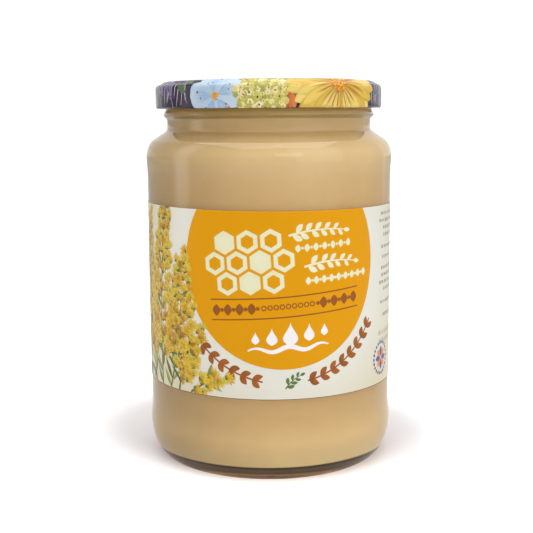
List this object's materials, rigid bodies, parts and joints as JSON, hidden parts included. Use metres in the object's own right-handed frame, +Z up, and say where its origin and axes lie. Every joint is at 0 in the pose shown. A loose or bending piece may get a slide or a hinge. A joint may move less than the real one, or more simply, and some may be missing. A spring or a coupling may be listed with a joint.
{
  "type": "honey jar",
  "caption": "Shut round glass jar full of creamed honey, with a paper label wrapped round its body and a thin twist-off metal lid.",
  "frame": {"origin": "middle of the ring that the jar stands on, at table level", "axes": "+Z up along the jar's axis, and the middle of the label's front faces -Y"},
  "size_m": [0.0942, 0.0942, 0.1441],
  "materials": {
    "clear_glass": "smooth clear moulded glass",
    "creamed_honey": "smooth opaque creamed honey, seen through the glass",
    "printed_paper": "satin printed paper",
    "printed_lid_enamel": "glossy printed enamel on tinplate"
  },
  "bodies": {
    "root": {"glass_jar": "clear_glass", "creamed_honey": "creamed_honey", "paper_label": "printed_paper", "lid": "printed_lid_enamel"}
  },
  "joints": []
}
